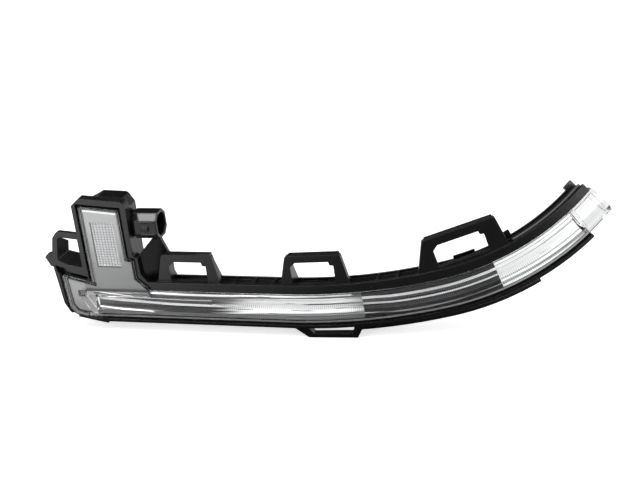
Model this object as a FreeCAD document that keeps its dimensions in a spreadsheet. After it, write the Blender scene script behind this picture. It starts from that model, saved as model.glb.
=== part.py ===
import FreeCAD, Part
import Sketcher
import os
from math import sin, cos, radians

# Turn signal lamp of a door mirror: a clear lens strip that wraps round the
# mirror's edge, a tall lens window at its inner end, and a black carrier
# that is clipped into the mirror by open loops.
# +X runs along the straight inner half of the strip, -Y faces the road
# ahead, +Z is up. Millimetres and degrees.

Vector = FreeCAD.Vector
doc = FreeCAD.newDocument("mirror_turn_signal_lamp")
sheet = doc.addObject("Spreadsheet::Sheet", "Sizes")

SIZES = [
    # path of the strip: straight, then two arcs in a plane that leans back
    ("plane_tilt", 45), ("arc_start", -16), ("arc_1_radius", 270), ("arc_1_angle", 15),
    ("arc_2_radius", 111), ("carrier_end", 119), ("flange_end", 130), ("lens_end", 131.5),
    # where the frame's origin sits on the left loop's front face
    ("datum_x", -59.5), ("datum_y", 2), ("datum_z", 22),
    # lens strip
    ("lens_half", 6.7), ("lens_crown", 1.8), ("lens_wall", 1.8), ("lens_leg", 4),
    ("lens_leg_wall", 1.1), ("lens_edge", 0.4), ("lens_gap", 0.1), ("strip_left", -112),
    # carrier channel
    ("front_y", 0.6), ("flange_top", 10.7), ("flange_thick", 1.8), ("roof_top", 8.6),
    ("back_y", 12), ("back_wall", 1.6), ("back_top", 9.5), ("ledge", 0.8), ("rim_low", 10.4),
    ("keel_low", 12.4), ("carrier_left", -102), ("ridge_start", 90),
    # stepped recess round the lens
    ("step_wide", 1.5), ("step_deep", 0.9),
    # window frame, its cover and the connector
    ("frame_back", 5), ("cover_front", 5.5), ("cover_back", 14), ("cover_wall", 1.5),
    ("board_front", 8.4), ("board_thick", 1.6), ("boss_radius", 2.2),
    ("screw_radius", 0.8), ("screw_head_radius", 1.7), ("screw_head", 1.2), ("screw_gap", 0.25),
    ("plug_front", 3.8), ("plug_back", 15), ("plug_low", 29.5), ("plug_high", 41.6),
    ("plug_mouth", -71.5), ("plug_wall", 1.2), ("plug_bevel", 2.8), ("plug_floor", -82),
    ("pin_size", 0.64), ("pin_pitch", 2.75), ("pin_z", 35.5),
    # loops
    ("loop_front", 2), ("loop_plate", 2.4), ("loop_bar_depth", 4), ("loop_bar", 3.5),
    ("web_thick", 1.8), ("loop_foot", 7.5),
    # light guide and its trim
    ("guide_mid", -0.8), ("guide_half", 1.9), ("guide_front", 3.7), ("guide_back", 8),
    ("guide_start", -110.4), ("trim_end", 117), ("slip", 0.15),
]


class Size:
    """A number that remembers the spreadsheet formula it came from."""

    def __init__(self, number, text):
        self.number = float(number)
        self.text = text

    def __add__(self, other):
        other = as_size(other)
        return Size(self.number + other.number, "(%s + %s)" % (self.text, other.text))

    def __sub__(self, other):
        other = as_size(other)
        return Size(self.number - other.number, "(%s - %s)" % (self.text, other.text))

    def __mul__(self, other):
        other = as_size(other)
        return Size(self.number * other.number, "(%s * %s)" % (self.text, other.text))

    def __truediv__(self, other):
        other = as_size(other)
        return Size(self.number / other.number, "(%s / %s)" % (self.text, other.text))

    def __neg__(self):
        return Size(-self.number, "(-1 * %s)" % self.text)


def as_size(value):
    if isinstance(value, Size):
        return value
    return Size(value, "%.12g" % value if value >= 0 else "(0 - %.12g)" % -value)


class Names:
    """S.lens_half is the spreadsheet's cell of that name."""


S = Names()
for row, (name, value) in enumerate(SIZES, start=1):
    sheet.set("A%d" % row, name)
    sheet.set("B%d" % row, str(value))
    sheet.setAlias("B%d" % row, name)
    setattr(S, name, Size(value, "Sizes." + name))
doc.recompute()

X_AXIS, Y_AXIS, Z_AXIS = Vector(1, 0, 0), Vector(0, 1, 0), Vector(0, 0, 1)
# sketch turned so that its own x and y lie along the two axes named
SIDE = FreeCAD.Rotation(Y_AXIS, Z_AXIS, X_AXIS)
FRONT = FreeCAD.Rotation(X_AXIS, Z_AXIS, -Y_AXIS)
PLAN = FreeCAD.Rotation()

TILT = radians(S.plane_tilt.number)
LEAN = Vector(0, -sin(TILT), cos(TILT))
LEAN_TEXT = "vector(0; -sin(Sizes.plane_tilt * 1 deg); cos(Sizes.plane_tilt * 1 deg))"


def bind(item, prop, size):
    item.setExpression(prop, as_size(size).text)


def outline(label, turn, points, base=(0, 0, 0)):
    """A closed sketch. A point is (x, y), or (x, y, radius) where an arc leaves it,
    bulging to the right of the way on when the radius is positive."""
    sketch = doc.addObject("Sketcher::SketchObject", label)
    base = [as_size(b) for b in base]
    sketch.Placement = FreeCAD.Placement(Vector(*[b.number for b in base]), turn)
    for axis, b in zip("xyz", base):
        bind(sketch, "Placement.Base." + axis, b)
    pts = [[as_size(c) for c in p] for p in points]
    flat = [Vector(p[0].number, p[1].number, 0) for p in pts]
    ends = []
    for i, p in enumerate(pts):
        a, b = flat[i], flat[(i + 1) % len(pts)]
        if len(p) == 2:
            sketch.addGeometry(Part.LineSegment(a, b))
        else:
            radius = abs(p[2].number)
            along = b - a
            half = along.Length / 2
            rise = radius - (radius ** 2 - half ** 2) ** 0.5
            side = Vector(along.y, -along.x, 0).normalize()
            if p[2].number < 0:
                side = -side
            sketch.addGeometry(Part.Arc(a, (a + b) * 0.5 + side * rise, b))
        first = (sketch.getPoint(i, 1) - a).Length < 1e-6
        ends.append((1, 2) if first else (2, 1))
    for i in range(len(pts)):
        j = (i + 1) % len(pts)
        sketch.addConstraint(Sketcher.Constraint("Coincident", i, ends[i][1], j, ends[j][0]))
    for i, p in enumerate(pts):
        for kind, size in zip(("DistanceX", "DistanceY"), p):
            made = sketch.addConstraint(
                Sketcher.Constraint(kind, -1, 1, i, ends[i][0], size.number))
            sketch.setExpression("Constraints[%d]" % made, size.text)
        if len(p) == 3:
            made = sketch.addConstraint(Sketcher.Constraint("Radius", i, abs(p[2].number)))
            sketch.setExpression("Constraints[%d]" % made, "abs(%s)" % p[2].text)
    return sketch


def rounded(points):
    """An outline where a corner with a third number is rounded to that radius."""
    pts = [[as_size(c) for c in p] for p in points]
    done = []
    for i, p in enumerate(pts):
        if len(p) == 2 or p[2].number == 0:
            done.append((p[0], p[1]))
            continue
        ends = []
        for q in (pts[i - 1], pts[(i + 1) % len(pts)]):
            ends.append(Vector(q[0].number - p[0].number, q[1].number - p[1].number, 0))
        turning = 3.14159265358979 - ends[0].getAngle(ends[1])
        reach = p[2].number * sin(turning / 2) / cos(turning / 2)
        left_turn = ends[1].cross(ends[0]).z > 0
        for q, way, leaves in ((pts[i - 1], ends[0], True), (pts[(i + 1) % len(pts)], ends[1], False)):
            share = reach / way.Length
            point = (p[0] + (q[0] - p[0]) * share, p[1] + (q[1] - p[1]) * share)
            done.append(point + ((p[2] if left_turn else -p[2]),) if leaves else point)
    return done


def prism(label, sketch, axis, start, end):
    """The sketch drawn out along an axis, from start to end on that axis."""
    letter = {"x": X_AXIS, "y": Y_AXIS, "z": Z_AXIS}[axis]
    solid = doc.addObject("Part::Extrusion", label)
    solid.Base = sketch
    solid.DirMode = "Custom"
    solid.Dir = letter
    solid.Solid = True
    bind(solid, "LengthFwd", as_size(end))
    bind(solid, "LengthRev", -as_size(start))
    return solid


def plate(label, points, start, end):
    """An outline seen from the front, from the depth start to the depth end."""
    return prism(label, outline(label + "_outline", FRONT, points), "y", start, end)


def block(label, x, y, z):
    """A box from three pairs of limits."""
    solid = doc.addObject("Part::Box", label)
    for prop, axis, (low, high) in zip(("Length", "Width", "Height"), "xyz", (x, y, z)):
        bind(solid, prop, as_size(high) - low)
        bind(solid, "Placement.Base." + axis, as_size(low))
    return solid


def rod(label, radius, base, axis, length):
    solid = doc.addObject("Part::Cylinder", label)
    turn = FreeCAD.Rotation(Z_AXIS, {"x": X_AXIS, "y": Y_AXIS, "z": Z_AXIS}[axis])
    solid.Placement = FreeCAD.Placement(Vector(), turn)
    for letter, b in zip("xyz", base):
        bind(solid, "Placement.Base." + letter, b)
    bind(solid, "Radius", radius)
    bind(solid, "Height", length)
    return solid


def fuse(label, parts):
    if len(parts) == 1:
        return parts[0]
    solid = doc.addObject("Part::MultiFuse", label)
    solid.Shapes = parts
    solid.Refine = True
    return solid


def cut(label, base, tools):
    tool = tools[0]
    if len(tools) > 1:
        tool = doc.addObject("Part::MultiFuse", label + "_tools")
        tool.Shapes = tools
    solid = doc.addObject("Part::Cut", label)
    solid.Base = base
    solid.Tool = tool
    solid.Refine = True
    return solid


def common(label, parts):
    solid = doc.addObject("Part::MultiCommon", label)
    solid.Shapes = parts
    return solid


# length along the path at which the second arc starts
TURN = 3.14159265358979 / 180
SECOND = S.arc_start + S.arc_1_radius * S.arc_1_angle * TURN


def turned(radius, degrees):
    """Placement text: turned about the centre of an arc of the path."""
    turn = "Sizes.plane_tilt * 1 deg"
    centre = "vector(Sizes.arc_start; %s * cos(%s); %s * sin(%s))" % (
        radius.text, turn, radius.text, turn)
    text = "placement(vector(0; 0; 0); rotation(%s; %s * 1 deg); %s)"
    return text % (LEAN_TEXT, as_size(degrees).text, centre)


def station(length):
    """Placement text that carries what is drawn at arc_start to a length along the path."""
    length = as_size(length)
    if length.number < S.arc_start.number:
        shift = (length - S.arc_start).text
        return "placement(vector(%s * 1 mm; 0 mm; 0 mm); rotation(vector(0; 0; 1); 0))" % shift
    if length.number <= SECOND.number:
        return turned(S.arc_1_radius, (length - S.arc_start) / S.arc_1_radius / TURN)
    return "%s * %s" % (turned(S.arc_1_radius, S.arc_1_angle),
                        turned(S.arc_2_radius, (length - SECOND) / S.arc_2_radius / TURN))


def revolved(label, sketch, radius, degrees, place=None):
    solid = doc.addObject("Part::Revolution", label)
    solid.Source = sketch
    solid.Solid = True
    solid.Axis = LEAN
    solid.setExpression("Axis.y", "-sin(Sizes.plane_tilt * 1 deg)")
    solid.setExpression("Axis.z", "cos(Sizes.plane_tilt * 1 deg)")
    bind(solid, "Base.x", S.arc_start)
    solid.setExpression("Base.y", "%s * cos(Sizes.plane_tilt * 1 deg)" % radius.text)
    solid.setExpression("Base.z", "%s * sin(Sizes.plane_tilt * 1 deg)" % radius.text)
    bind(solid, "Angle", degrees)
    if place:
        solid.setExpression("Placement", place)
    return solid


def swept(label, section, start, end):
    """One section of the strip carried along its path: a list with the straight
    run and the two arcs, as far as they lie between the lengths start and end."""
    start, end = as_size(start), as_size(end)
    sketch = outline(label + "_section", SIDE, section, (S.arc_start, 0, 0))
    runs = []
    if start.number < S.arc_start.number:
        run = doc.addObject("Part::Extrusion", label + "_straight")
        run.Base = sketch
        run.DirMode = "Custom"
        run.Dir = -X_AXIS
        run.Solid = True
        stop = end if end.number < S.arc_start.number else S.arc_start
        bind(run, "LengthFwd", stop - start)
        bind(run, "Placement.Base.x", stop - S.arc_start)
        runs.append(run)
        start = S.arc_start
    if end.number > S.arc_start.number and start.number < SECOND.number:
        stop = end if end.number < SECOND.number else SECOND
        runs.append(revolved(label + "_arc_1", sketch, S.arc_1_radius,
                             (stop - start) / S.arc_1_radius / TURN, station(start)))
    if end.number > SECOND.number:
        low = start if start.number > SECOND.number else SECOND
        runs.append(revolved(label + "_arc_2", sketch, S.arc_2_radius,
                             (end - low) / S.arc_2_radius / TURN, station(low)
                             if low is not SECOND else turned(S.arc_1_radius, S.arc_1_angle)))
    return runs


def at_station(item, length):
    item.setExpression("Placement", station(length))
    return item


NODES = []


def node(item, label):
    """The piece takes its place in the frame whose origin is the mounting datum."""
    item.Label = label
    placed = {path.lstrip("."): text for path, text in item.ExpressionEngine}
    for axis in "xyz":
        path = "Placement.Base." + axis
        item.setExpression(path, "%s - Sizes.datum_%s" % (placed.get(path, "0"), axis))
    NODES.append(item)
    return item


def grown(points, by):
    """An outline with each corner moved out by its own signs."""
    return [(as_size(x) + as_size(by) * sx, as_size(z) + as_size(by) * sz)
            for x, z, sx, sz in points]


# The flat part of the lens, seen from the front: the strip's blunt inner end
# and the tall window, with the shoulder at its foot. The last two numbers say
# which way each corner moves when the outline grows.
WINDOW = [
    (-104, -6.7, 0, -1), (-112, -6.7, 0, -1), (-116.4, -5.6, -1, -1), (-118.7, -2.6, -1, 0),
    (-119.8, 13.0, -1, 1), (-105.4, 9.4, -1, 1), (-105.4, 46.6, -1, 1), (-87.2, 44.9, 1, 1),
    (-87.2, 21.6, 1, 1), (-84.0, 21.2, 1, 1), (-84.0, 12.2, 1, 0.4), (-78.4, 6.7, 0.6, 1),
    (-78.4, 3, 0.6, 0), (-104, 3, 0, 0),
]
# the room behind the window, open to the strip's room below
ROOM = [
    (-104, -5.6, 0, -1), (-112, -5.6, 0, -1), (-115.7, -4.6, -1, -1), (-117.5, -2.2, -1, 0),
    (-118.5, 11.5, -1, 1), (-104.3, 7.9, -1, 1), (-104.3, 45.4, -1, 1), (-88.3, 43.9, 1, 1),
    (-88.3, 20.6, 1, 1), (-85.1, 20.2, 1, 1), (-85.1, 11.8, 1, 0.4), (-79.6, 6.3, 0.6, 1),
    (-79.2, 5.5, 0, 0), (-77, 5.5, 1, 0), (-77, -5.6, 1, -1),
]

# CARRIER
STEP_BACK = S.front_y + S.step_deep
ROOF = [
    (S.front_y, S.lens_half + S.lens_gap), (S.lens_leg, S.lens_half + S.lens_gap),
    (S.lens_leg, S.lens_half - S.ledge), (S.back_y, S.lens_half - S.ledge),
    (S.back_y, S.back_top), (S.back_y - S.back_wall, S.back_top + 0.4),
    (S.back_y - S.back_wall, S.roof_top), (S.front_y + S.flange_thick, S.roof_top),
    (S.front_y + S.flange_thick, S.flange_top - 0.4),
    (S.loop_front, S.flange_top), (S.front_y, S.flange_top),
]
TROUGH = [
    (S.back_y, S.lens_half - S.ledge), (S.back_y - S.back_wall, S.lens_half - S.ledge),
    (S.back_y - S.back_wall, -S.lens_half + S.ledge), (S.lens_leg, -S.lens_half + S.ledge),
    (S.lens_leg, -S.lens_half - S.lens_gap), (STEP_BACK, -S.lens_half - S.lens_gap),
    (STEP_BACK, -S.lens_half - S.step_wide), (S.front_y, -S.lens_half - S.step_wide),
    (S.front_y, -S.rim_low + 0.9), (S.front_y + 0.9, -S.rim_low + 0.9),
    (S.front_y + 1.4, -S.rim_low), (S.back_y - 2.6, -S.rim_low), (S.back_y, -S.rim_low + 2.2),
]
KEEL = [(2.4, -10), (3, -S.keel_low), (6.6, -S.keel_low), (7.6, -10)]
# beyond the outer loop the gutter has a ridge along its middle
RIDGE = [(7.6, S.roof_top), (7.6, S.roof_top + 0.3), (5.9, S.roof_top + 1.5),
         (5.2, S.roof_top + 0.9), (5.2, S.roof_top)]
RIDGED_ROOF = ROOF[:7] + RIDGE + ROOF[7:]
REAR_RIB = [(S.back_y - 0.4, -0.7), (S.back_y + 1.2, -0.5), (S.back_y + 1.2, 0.5),
            (S.back_y - 0.4, 0.7)]

carrier = []
carrier += swept("roof", ROOF, S.carrier_left, S.ridge_start)
carrier += swept("ridged_roof", RIDGED_ROOF, S.ridge_start, S.flange_end)
carrier += swept("trough", TROUGH, S.carrier_left, S.carrier_end)
carrier += swept("keel", KEEL, 14, 92)
carrier += swept("rear_rib", REAR_RIB, S.carrier_left, S.carrier_end - 2)

# blunt inner end, with the black recess above the strip
END_BLOCK = [
    (-101.5, -S.rim_low), (-106.5, -9.5), (-115.6, -7.7), (-119.4, -5.4), (-121.7, -0.9),
    (-123.7, 19.6), (-108.6, 15.9), (-108.6, S.roof_top), (-101.5, S.roof_top),
]
carrier.append(plate("end_block", END_BLOCK, S.front_y, S.back_y))
# frame of the window, with clipped upper corners
FRAME = [
    (-108.8, 8), (-108.8, 47.2, 0.8), (-104.8, 50.6, 0.8), (-84.2, 49.0, 2.4), (-83.0, 46.0),
    (-83.7, 23.4, 1.2), (-81.5, 22.4, 1), (-81.3, 14.4, 1.5), (-75.6, 6.8), (-104, 6.8),
]
carrier.append(plate("window_frame", rounded(FRAME), S.front_y, S.frame_back))
# ledge that the rear cover stands on
carrier.append(block("cover_ledge", (-105.6, -82.6), (S.frame_back - 0.4, S.back_y),
                     (7.6, S.flange_top)))
# open loop at the inner end: a thin bridge in front, a deep floor and a web
# that slopes back from the bridge to the floor's far lip
SIDE_LOOP = [
    (-123.7, 19.0), (-121.2, 31.4, 1), (-118.6, 34.8, 2.4), (-107, 33.6), (-107, 14.0),
]
SIDE_HOLE = [
    (-120.6, 20.6, 0.5), (-118.9, 31.0, 0), (-117.5, 32.0, 0.8), (-109.1, 31.0), (-109.1, 17.2, 0.6),
    (-117.0, 18.8),
]
side_loop = cut("side_loop", plate("side_loop_outer", rounded(SIDE_LOOP), S.front_y, S.back_y), [
    plate("side_loop_hole", rounded(SIDE_HOLE), 0, S.back_y + 1),
    block("side_loop_behind_frame", (-108.9, -106), (S.frame_back, S.back_y + 1), (10, 40)),
    prism("side_loop_slope", outline("side_loop_slope_section", SIDE, [
        (S.front_y + 2, 31.4), (S.back_y + 1, 24.8), (S.back_y + 1, 40), (S.front_y + 2, 40)]),
        "x", -125, -106)])
carrier.append(plate("side_loop_lip", [
    (-120.8, 20.6), (-109.0, 17.6), (-109.0, 16.6), (-121.4, 18.6)], S.back_y - 1, S.back_y))
carrier.append(side_loop)
TAB = [(-127.5, 21.4), (-126.2, 22.8), (-122.6, 23.2), (-123.0, 16.6), (-125.4, 17.0)]
carrier.append(plate("end_tab", TAB, S.loop_front, S.loop_front + 3))


def clip_loop(label, foot_left, foot_right, top_left, top_right, top, hole, length, raised=0):
    """An open loop on the carrier's flange: a front plate with a window, a deep
    top bar, and a triangular web on each side that runs back to the rear lip."""
    x0 = S.arc_start
    low, high = S.loop_foot + raised, as_size(top)
    left, right, sill, head = hole
    face = plate(label + "_face", rounded([
        (x0 + foot_left, low), (x0 + top_left, high, 1.4), (x0 + top_right, high, 1.2),
        (x0 + foot_right, low)]), S.loop_front, S.loop_front + S.loop_plate)
    bar = block(label + "_bar", (x0 + top_left + 1.1, x0 + top_right - 0.9),
                (S.loop_front, S.loop_front + S.loop_bar_depth), (high - S.loop_bar, high))
    webs = []
    for side, at in (("left", as_size(top_left)), ("right", as_size(top_right) - S.web_thick)):
        section = outline("%s_%s_web_outline" % (label, side), SIDE, [
            (S.loop_front, low), (S.loop_front, high - 0.5), (S.loop_front + 2, high - 0.5),
            (S.back_y, S.back_top - 0.2), (S.back_y, low - 1), (S.back_y - 1, low - 1)])
        webs.append(prism("%s_%s_web" % (label, side), section, "x", x0 + at,
                          x0 + at + S.web_thick))
    hole_tool = plate(label + "_hole", [
        (x0 + left, sill), (x0 + left, as_size(head) - 2), (x0 + left + 2.4, head),
        (x0 + right - 2, head), (x0 + right - 1.6, as_size(head) - 1.6),
        (x0 + right, as_size(head) - 1.8), (x0 + right, sill),
    ], 0, S.loop_front + S.loop_bar_depth + 0.1)
    loop = cut(label, fuse(label + "_solid", [face, bar] + webs), [hole_tool])
    loop.setExpression("Placement", station(length))
    return loop


LOOP_1, LOOP_2, LOOP_3 = as_size(-59.5), as_size(-1), as_size(67)
carrier.append(clip_loop("loop_1", -15.4, 15.2, -11.2, 12.0, 23.7,
                         (-8.3, 8.9, 10.7, 20.3), LOOP_1))
carrier.append(clip_loop("loop_2", -16.6, 15.6, -12.0, 12.2, 24.4,
                         (-10.2, 8.8, 10.7, 21.2), LOOP_2))
carrier.append(clip_loop("loop_3", -22.0, 19.0, -14.8, 16.6, 25.6,
                         (-11.6, 10.4, 12.2, 21.8), LOOP_3, 1.9))
# small raised pad on the first loop's bar
carrier.append(block("loop_1_pad", (LOOP_1 + 5.4, LOOP_1 + 11.6),
                     (S.loop_front, S.loop_front + 2.6), (23.2, 24.4)))
# the loop below the carrier
x0 = S.arc_start
low_loop = cut("low_loop", plate("low_loop_outer", [
    (x0 - 15.6, -9.8), (x0 - 9.8, -14.6), (x0 + 11.8, -15.4), (x0 + 15.2, -9.8),
], S.loop_front, S.loop_front + 3.4), [plate("low_loop_hole", [
    (x0 - 10, -9), (x0 - 7.4, -12.9), (x0 + 9.6, -13.3), (x0 + 11.4, -9),
], 0, S.loop_front + 5)])
carrier.append(at_station(low_loop, 2))

# cross ribs in the open gutter behind the flange
for i, length in enumerate((-40, -31, -22, 26, 35)):
    carrier += swept("gutter_rib_%d" % (i + 1), [
        (S.front_y + 1, S.roof_top - 1.5), (S.back_y - 1, S.roof_top - 1.5),
        (S.back_y - 1, S.roof_top + 1), (S.front_y + 1, S.roof_top + 1)], length - 0.6, length + 0.6)
# raised bits of the rear lip beside the outer loop
carrier += swept("lip_tab_1", [(10.2, 8.2), (10.6, 11.2), (12, 10.8), (12, 8.2)], 61, 72)
carrier += swept("lip_tab_2", [(10.2, 8.2), (10.6, 12.4), (12, 12), (12, 8.2)], 87, 91)
carrier += swept("lip_tab_3", [(9.6, 8.2), (10.2, 11.6), (12, 11.2), (12, 8.2)],
                 S.flange_end - 5, S.flange_end)
# upright gusset that runs back from the window frame to the first loop's web,
# under the connector
gusset_slab = prism("gusset_slab", outline("gusset_slab_plan", PLAN, [
    (-83.4, 3.4), (-69.6, 9.6), (-69.6, 11.4), (-83.4, 5.2)]), "z", 8, 30)
gusset = common("gusset", [gusset_slab, plate("gusset_outline", [
    (-84.4, 8), (-84.4, 20.0), (-76.4, 28.8), (-72.6, 28.8), (-69.0, 17.0), (-69.0, 8),
], 1, 12)])
carrier.append(gusset)

housing_body = fuse("housing_body", carrier)
pocket_tools = swept("lens_opening", [
    (-3, S.lens_half + S.lens_gap), (S.lens_leg, S.lens_half + S.lens_gap),
    (S.lens_leg, -S.lens_half - S.lens_gap), (-3, -S.lens_half - S.lens_gap),
], S.strip_left, S.arc_start + 1)[:1]
pocket_tools += swept("inner_room", [
    (S.lens_leg - 0.1, S.lens_half - S.ledge), (S.back_y - S.back_wall, S.lens_half - S.ledge),
    (S.back_y - S.back_wall, -S.lens_half + S.ledge), (S.lens_leg - 0.1, -S.lens_half + S.ledge),
], -116, S.arc_start + 1)[:1]
pocket_tools.append(plate("window_opening", grown(WINDOW, S.lens_gap), -1, S.lens_leg))
pocket_tools.append(plate("window_step", grown(WINDOW, S.step_wide), -1, STEP_BACK))
pocket_tools.append(plate("window_room", grown(ROOM, 0.2), 3, S.frame_back + 0.1))
pocket_tools.append(plate("end_room", [
    (-104, -5.9), (-112, -5.9), (-115.1, -4.8), (-116.7, -2.2), (-117.8, 11.7), (-107, 8.9),
    (-107, 7.2), (-104, 6.2),
], 3, S.back_y - S.back_wall))
pocket_tools.append(plate("end_recess", [
    (-122.6, 18.2), (-117.4, 16.6), (-116.7, 15.0), (-107.4, 12.7), (-107.7, 11.2), (-118.1, 13.7),
    (-120.4, 12.5), (-121.9, 14.9),
], 0, S.front_y + 3))
housing = node(cut("housing", housing_body, pocket_tools), "housing")

# OUTER LENS
crown_rise = S.lens_crown + S.lens_edge
LENS_RADIUS = (S.lens_half * S.lens_half + crown_rise * crown_rise) / (crown_rise * 2)
inner_half = S.lens_half - S.lens_leg_wall
inner_edge = S.lens_edge + 1.3
inner_rise = inner_edge + S.lens_crown - S.lens_wall
INNER_RADIUS = (inner_half * inner_half + inner_rise * inner_rise) / (inner_rise * 2)
LENS = [
    (S.lens_leg, -S.lens_half), (S.lens_edge, -S.lens_half, -LENS_RADIUS),
    (S.lens_edge, S.lens_half), (S.lens_leg, S.lens_half), (S.lens_leg, inner_half),
    (inner_edge, inner_half, INNER_RADIUS), (inner_edge, -inner_half),
    (S.lens_leg, -inner_half),
]
TIP = [
    (8.4, -S.lens_half), (S.lens_edge, -S.lens_half, -LENS_RADIUS),
    (S.lens_edge, S.lens_half), (S.lens_leg, S.lens_half),
    (S.lens_leg, S.lens_half - S.ledge - 0.05), (9.6, S.lens_half - S.ledge - 0.05), (9.6, -5.4),
]
TIP_ROOM = [
    (7.6, -inner_half + 0.6), (inner_edge, -inner_half + 0.6), (inner_edge - 1, 0),
    (inner_edge, inner_half - 0.8), (7.8, inner_half - 0.8),
]
lens_runs = swept("lens", LENS, S.strip_left, S.carrier_end + 0.5)
strip = cut("lens_strip", fuse("lens_strip_runs", lens_runs), [
    plate("strip_start_bevel", [(-114, -8), (-105.5, -8), (-112.4, 5), (-114, 8)], -4, 0)])
window = cut("lens_window", fuse("lens_window_solid", [
    strip, plate("window_plate", [(x, z) for x, z, _, _ in WINDOW], 0, S.lens_leg)]),
    [plate("window_hollow", [(x, z) for x, z, _, _ in ROOM], S.lens_wall, S.lens_leg + 1)])
tip_corner = plate("tip_corner", [(-16, -8), (-10, -8), (-10, 8), (-15.0, 8), (-14.2, 3)], -4, 14)
tip_tools = swept("tip_room", TIP_ROOM, S.carrier_end - 0.5, S.lens_end - S.lens_wall)
tip_tools.append(at_station(tip_corner, S.lens_end))
tip_runs = swept("tip", TIP, S.carrier_end + 0.1, S.lens_end)
tip = cut("lens_tip", fuse("lens_tip_solid", tip_runs), tip_tools)
outer_lens = node(fuse("outer_lens", [window, tip]), "outer_lens")

# REFLECTOR TRIM: bright stepped channel behind the strip
g_top = S.guide_mid + S.guide_half + S.slip
g_low = S.guide_mid - S.guide_half - S.slip
half = S.lens_half - 1.3
TRIM = [
    (3.0, half), (3.9, half - 0.8), (3.6, half - 1.7), (4.9, half - 2.1), (4.7, half - 3.1),
    (5.4, g_top), (S.guide_back + S.slip, g_top), (S.guide_back + S.slip, g_low), (5.0, g_low),
    (4.6, -half + 1.7), (4.9, -half + 1.3), (4.2, -half + 0.9), (4.4, -half + 0.5), (3.6, -half),
    (5.2, -half - 0.1), (S.guide_back + 1.3, -half + 1.3), (S.guide_back + 1.3, half - 2.9),
    (6.4, half - 1.1), (4.6, half + 0.1),
]
trim_parts = swept("trim", TRIM, -108.6, S.trim_end)
trim_parts.append(plate("trim_end_plate", [
    (-107, -5.2), (-111.8, -5.2), (-115.4, -4.3), (-117.1, -2.0), (-118.1, 11.0), (-105.6, 7.8),
    (-105.6, 5.6), (-107, 5.4)], 2.7, 3.7))
reflector_trim = node(cut("reflector_trim", fuse("trim_body", trim_parts), [
    block("trim_peg_hole", (-112.6, -110.2), (2, 4), (2.9, 5.3)),
    plate("trim_guide_slot", [(-113, -2.9), (-108, -2.9), (-108, 1.3), (-113, 1.3)], 2, 3.8)]),
    "reflector_trim")

# LIGHT GUIDE: clear bar with a crowned front, fed at its inner end
GUIDE = [
    (S.guide_back, S.guide_mid - S.guide_half),
    (S.guide_front + 0.8, S.guide_mid - S.guide_half, -2.7),
    (S.guide_front + 0.8, S.guide_mid + S.guide_half), (S.guide_back, S.guide_mid + S.guide_half),
]
guide_runs = swept("guide", GUIDE, S.guide_start, S.trim_end - 0.2)
guide_facet = plate("guide_facet", [(-111, -4), (-107.4, -4), (-109.6, 2), (-111, 2)],
                    S.guide_front - 1, S.guide_front + 1.6)
light_guide = node(cut("light_guide", fuse("guide_runs", guide_runs), [guide_facet]), "light_guide")

# feed end of the light guide: board on edge, its LED, and the holder with its peg
feed_x = S.guide_start - 0.1
feed_z = S.guide_mid
guide_board = node(block("guide_board", (feed_x - 2.4, feed_x - 1.4), (4.2, 9.6),
                         (feed_z - 3.8, feed_z + 2)), "guide_board")
guide_led = node(block("guide_led", (feed_x - 1.4, feed_x), (4.8, 7.6),
                       (feed_z - 1.4, feed_z + 1.4)), "guide_led")
guide_holder = node(fuse("guide_holder", [
    block("holder_block", (-113.4, -109.2), (4.0, 9.8), (1.3, 5.5)),
    block("holder_peg", (-112.5, -110.3), (2.6, 4.1), (3.0, 5.2))]), "guide_holder")

# WINDOW REFLECTOR: bright tray with a bowl behind the pillow optic
TRAY = [(-103.9, 6.0), (-103.9, 44.9), (-88.6, 43.4), (-88.6, 20.2), (-85.3, 19.8),
        (-85.3, 11.6), (-79.9, 6.0)]
OPTIC = (-102.0, -90.4, 18.6, 43.0)
left, right, low, high = OPTIC
OPTIC_BACK, OPTIC_GROOVE, OPTIC_CREST = as_size(3.9), as_size(2.75), as_size(2.5)
tray = fuse("tray", [
    plate("tray_plate", TRAY, 2.2, 4.4),
    block("bowl", (left + 0.6, right - 0.6), (4.0, S.board_front - 0.2), (low + 0.6, high - 0.6))])
LED_X, LED_Z = (left + right) / 2, (25.0, 36.6)
LED_SIDE, LED_HOLE = 1.4, 1.7
tray_tools = [
    block("optic_seat", (left, right), (1, OPTIC_BACK), (low, high)),
    block("bowl_room", (left + 1.6, right - 1.6), (3, S.board_front - 1), (low + 1.6, high - 1.6))]
for i, z in enumerate(LED_Z):
    tray_tools.append(block("led_hole_%d" % (i + 1), (LED_X - LED_HOLE, LED_X + LED_HOLE),
                            (7, 9), (z - LED_HOLE, z + LED_HOLE)))
window_reflector = node(cut("window_reflector", tray, tray_tools), "window_reflector")

# PILLOW OPTIC: two sets of flutes crossed, so that every cell is a small pillow
COLUMNS, ROWS = 8, 18
wide = as_size(right - left) - S.slip * 2
tall = as_size(high - low) - S.slip * 2


def flutes(start, pitch, count):
    """Pairs of place and depth along a row of flutes: groove, then two shoulders."""
    row = []
    for i in range(count):
        row.append((start + pitch * i, OPTIC_GROOVE))
        row.append((start + pitch * (i + 0.27), OPTIC_CREST))
        row.append((start + pitch * (i + 0.73), OPTIC_CREST))
    row.append((start + pitch * count, OPTIC_GROOVE))
    row.append((start + pitch * count, OPTIC_BACK))
    row.append((start, OPTIC_BACK))
    return row


across = flutes(as_size(left) + S.slip, wide / COLUMNS, COLUMNS)
upward = [(depth, z) for z, depth in flutes(as_size(low) + S.slip, tall / ROWS, ROWS)]
pillow_lens = node(common("pillow_lens", [
    prism("column_flutes", outline("column_flutes_outline", PLAN, across), "z", low, high),
    prism("row_flutes", outline("row_flutes_outline", SIDE, upward), "x", left, right),
]), "pillow_lens")

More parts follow.
